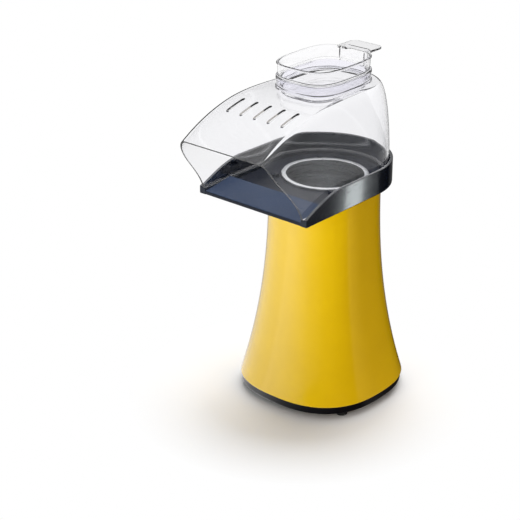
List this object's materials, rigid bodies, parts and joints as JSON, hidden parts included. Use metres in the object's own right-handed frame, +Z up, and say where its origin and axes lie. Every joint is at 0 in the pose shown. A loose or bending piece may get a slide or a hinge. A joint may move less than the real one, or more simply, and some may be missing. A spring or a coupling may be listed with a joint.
{
  "type": "popcorn maker",
  "caption": "Hot-air popcorn maker with flared yellow housing, dark chute tray, clear popping hood with vent slots, measuring cup, air-heated chamber and fan motor.",
  "frame": {"origin": "centre of the whole object's box at the height of the feet's undersides", "axes": "+Z up, -Y towards the chute's mouth, +X to the right when looking along +Y"},
  "size_m": [0.1686, 0.2474, 0.3767],
  "materials": {
    "housing": "glossy yellow moulded plastic",
    "tray": "glossy blue-black moulded plastic",
    "clear_plastic": "clear polished moulded plastic",
    "black_plastic": "fine textured black plastic",
    "rocker_red": "glossy red plastic",
    "rubber": "soft matt rubber",
    "aluminium": "drawn, lightly brushed",
    "steel": "plated sheet and fasteners",
    "bronze": "sintered bronze",
    "copper": "bare copper segments",
    "ferrite": "matt ferrite magnet",
    "mica": "silvery brown mica sheet",
    "nichrome": "dull resistance wire",
    "board": "brown phenolic board",
    "lead_red": "red wire sleeve",
    "lead_black": "black wire sleeve",
    "lead_white": "white wire sleeve"
  },
  "bodies": {
    "root": {"housing": "housing", "base_plate": "black_plastic", "foot_1": "rubber", "foot_2": "rubber", "foot_3": "rubber", "foot_4": "rubber", "base_screw_1": "steel", "base_screw_2": "steel", "base_screw_3": "steel", "base_screw_4": "steel", "chute_tray": "tray", "tray_screw_1": "steel", "tray_screw_2": "steel", "tray_screw_3": "steel", "tray_screw_4": "steel", "popping_chamber": "aluminium", "heater_duct": "steel", "mica_plate_a": "mica", "mica_plate_b": "mica", "heater_coil": "nichrome", "fan_housing": "aluminium", "duct_screw_1": "steel", "duct_screw_2": "steel", "duct_screw_3": "steel", "motor_can": "steel", "motor_end_cap": "black_plastic", "motor_front_bush": "bronze", "motor_rear_bush": "bronze", "motor_magnet_1": "ferrite", "motor_magnet_2": "ferrite", "motor_screw_1": "steel", "motor_screw_2": "steel", "thermostat": "black_plastic", "thermal_fuse": "steel", "rectifier_board": "board", "switch_body": "black_plastic", "cord_grommet": "rubber", "motor_lead_1": "lead_red", "motor_lead_2": "lead_black", "switch_lead": "lead_white"},
    "hood": {"hood": "clear_plastic"},
    "cup": {"measuring_cup": "clear_plastic"},
    "fan": {"fan_impeller": "aluminium", "motor_shaft": "steel", "motor_armature": "steel", "motor_commutator": "copper"},
    "rocker": {"switch_rocker": "rocker_red"}
  },
  "joints": [
    {"name": "hood_lift", "type": "slide", "parent": "root", "child": "hood", "axis": [0, 0, 1], "range_m": [0, 0.12]},
    {"name": "cup_lift", "type": "slide", "parent": "hood", "child": "cup", "axis": [0, 0, 1], "range_m": [0, 0.06]},
    {"name": "fan_spin", "type": "hinge", "parent": "root", "child": "fan", "pos_m": [0, 0.0387, 0.098], "axis": [0, 0, 1], "continuous": true},
    {"name": "rocker_tip", "type": "hinge", "parent": "root", "child": "rocker", "pos_m": [0, 0.10986, 0.05751], "axis": [1, 0, 0], "range_deg": [0, 18]}
  ]
}
